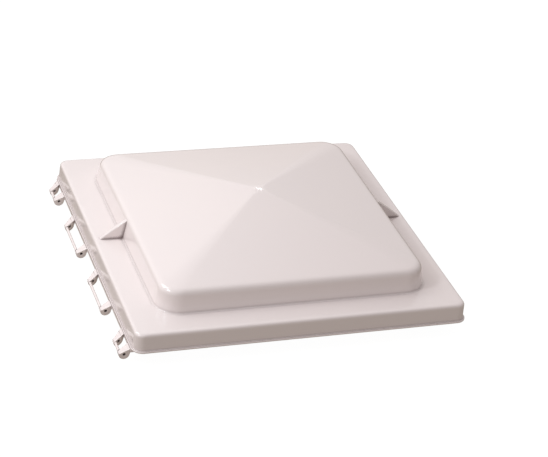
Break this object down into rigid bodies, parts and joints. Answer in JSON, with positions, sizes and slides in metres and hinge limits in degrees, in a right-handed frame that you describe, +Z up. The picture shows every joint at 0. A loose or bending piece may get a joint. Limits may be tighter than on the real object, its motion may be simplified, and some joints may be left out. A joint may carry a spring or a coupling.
{
  "type": "roof vent lid",
  "caption": "Square white roof vent lid with a low pyramid dome, a skirted flange, gusset ribs, hinge loops along one edge, foam seals and a sliding lift track under the dome.",
  "frame": {"origin": "middle of the hinge axis, on the line of the holes for the hinge rod", "axes": "+X from the hinge towards the free edge, +Y along the hinge axis, +Z up out of the roof"},
  "size_m": [0.4131, 0.4004, 0.0926],
  "materials": {
    "white_plastic": "satin gloss moulding",
    "foam": "matt closed-cell foam",
    "galvanised_steel": "galvanised",
    "zinc_steel": "bright zinc plate",
    "nylon": "matt natural nylon",
    "spring_steel": "dark spring steel"
  },
  "bodies": {
    "lid": {"lid_shell": "white_plastic", "hinge_rail": "white_plastic", "hinge_side_seal": "foam", "free_side_seal": "foam", "left_seal": "foam", "right_seal": "foam", "lift_track": "galvanised_steel", "track_stop_left": "nylon", "track_stop_right": "nylon", "track_screw_1": "zinc_steel", "track_screw_2": "zinc_steel", "track_screw_3": "zinc_steel", "track_screw_4": "zinc_steel", "track_washer_1": "zinc_steel", "track_washer_2": "zinc_steel", "track_washer_3": "zinc_steel", "track_washer_4": "zinc_steel"},
    "shoe": {"slide_shoe": "nylon", "fork_pin": "zinc_steel", "pin_washer": "zinc_steel", "pin_clip": "spring_steel"},
    "fork": {"arm_fork": "galvanised_steel"}
  },
  "joints": [
    {"name": "shoe_slide", "type": "slide", "parent": "lid", "child": "shoe", "axis": [0, 1, 0], "range_m": [-0.06, 0.06]},
    {"name": "fork_pivot", "type": "hinge", "parent": "shoe", "child": "fork", "pos_m": [0.2667, 0, 0.0328], "axis": [1, 0, 0], "range_deg": [-60, 60]}
  ]
}
